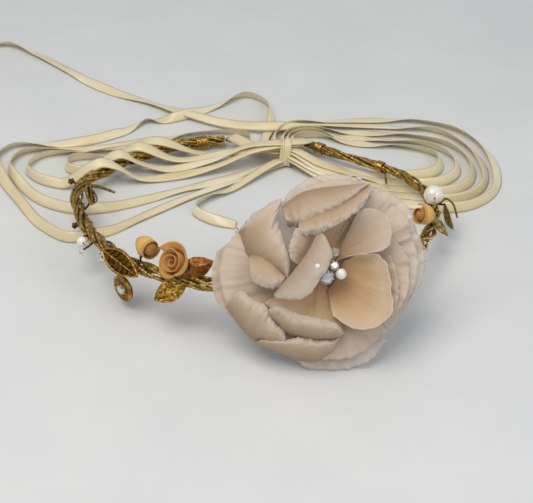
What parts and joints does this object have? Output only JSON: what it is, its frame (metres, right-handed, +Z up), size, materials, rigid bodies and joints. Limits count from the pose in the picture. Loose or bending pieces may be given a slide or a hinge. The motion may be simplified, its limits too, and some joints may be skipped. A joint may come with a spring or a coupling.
{
  "type": "flower crown",
  "caption": "Open ring headpiece of twisted gold vine with a large chiffon flower, paper roses, gold leaves, pearls, rhinestones and satin ribbon ties at the back.",
  "frame": {"origin": "middle of the footprint, on the table the crown lies on (ribbons left out)", "axes": "+Z up, -Y towards the big flower (the front of the crown), +Y towards the open ends, +X to the wearer's left"},
  "size_m": [0.2744, 0.2979, 0.0678],
  "materials": {
    "steel_core_wire": "paper-covered florist's wire",
    "antique_gold_vine": "dull antique gold, foil-wrapped",
    "gold_wire_binding": "satin",
    "cast_gold_leaf": "antique gold, darkened in the veins",
    "foil_leaf": "crinkled bright gold foil",
    "tan_paper": "matt tan mulberry paper",
    "antique_gold_stem": "dark antique gold, matt",
    "crystal": "clear, faceted, foiled back",
    "pearl": "pearl lustre",
    "gold_wire_thin": "bright",
    "charm_gold": "antique gold, darkened in the grooves",
    "silver_setting": "polished",
    "blush_chiffon": "sheer matt chiffon with singed edges",
    "felt": "matt felt",
    "satin_ribbon": "ivory satin"
  },
  "bodies": {
    "root": {"core_wire": "steel_core_wire", "vine_strand_1": "antique_gold_vine", "vine_strand_2": "antique_gold_vine", "vine_strand_3": "antique_gold_vine", "end_binding_left": "gold_wire_binding", "end_binding_right": "gold_wire_binding", "middle_binding": "gold_wire_binding", "ribbon_eye_left": "gold_wire_binding", "ribbon_eye_right": "gold_wire_binding", "openwork_leaf_front": "cast_gold_leaf", "openwork_leaf_side": "cast_gold_leaf", "foil_leaf": "foil_leaf", "rose_leaf": "tan_paper", "ribbed_leaf": "cast_gold_leaf", "edge_leaf": "cast_gold_leaf", "stem_end_right": "antique_gold_stem", "twig_right": "antique_gold_stem", "twig_left": "antique_gold_stem", "bead_setting_rear": "antique_gold_stem", "bead_setting_side": "antique_gold_stem", "small_rhinestone": "crystal", "crystal_bead": "crystal", "pearl_right_wire": "gold_wire_thin", "pearl_left_wire": "gold_wire_thin", "charm_eye": "charm_gold", "rosebud_left": "tan_paper", "rosebud_left_calyx": "antique_gold_stem", "rosebud_right": "tan_paper", "rosebud_right_calyx": "antique_gold_stem", "rose": "tan_paper", "rose_calyx": "antique_gold_stem", "outer_petal_1": "blush_chiffon", "outer_petal_2": "blush_chiffon", "outer_petal_3": "blush_chiffon", "outer_petal_4": "blush_chiffon", "outer_petal_5": "blush_chiffon", "middle_petal_1": "blush_chiffon", "middle_petal_2": "blush_chiffon", "middle_petal_3": "blush_chiffon", "middle_petal_4": "blush_chiffon", "inner_petal_1": "blush_chiffon", "inner_petal_2": "blush_chiffon", "inner_petal_3": "blush_chiffon", "heart_petal_1": "blush_chiffon", "heart_petal_2": "blush_chiffon", "flower_core": "felt", "centre_stone_cup": "silver_setting", "centre_rhinestone": "crystal", "second_rhinestone": "crystal", "centre_pearl": "pearl", "felt_disc_front": "felt", "felt_disc_back": "felt", "ribbon_left": "satin_ribbon", "ribbon_right": "satin_ribbon", "ribbon_tie": "satin_ribbon"},
    "charm": {"charm_bail": "charm_gold", "charm_disc": "charm_gold", "charm_crystal": "crystal"},
    "pearl_right_bead": {"pearl_right": "pearl"},
    "pearl_left_bead": {"pearl_left": "pearl"}
  },
  "joints": [
    {"name": "charm_swing", "type": "hinge", "parent": "root", "child": "charm", "pos_m": [-0.0594, -0.0468, 0.0199], "axis": [-0.6606, 0.7507, 0], "range_deg": [-30, 60]},
    {"name": "pearl_right_spin", "type": "hinge", "parent": "root", "child": "pearl_right_bead", "pos_m": [0.0801, 0.0129, 0.0212], "axis": [0.0301, -0.9923, 0.1203], "continuous": true},
    {"name": "pearl_left_spin", "type": "hinge", "parent": "root", "child": "pearl_left_bead", "pos_m": [-0.0797, -0.0208, 0.0178], "axis": [0.452, -0.8839, 0.1205], "continuous": true}
  ]
}
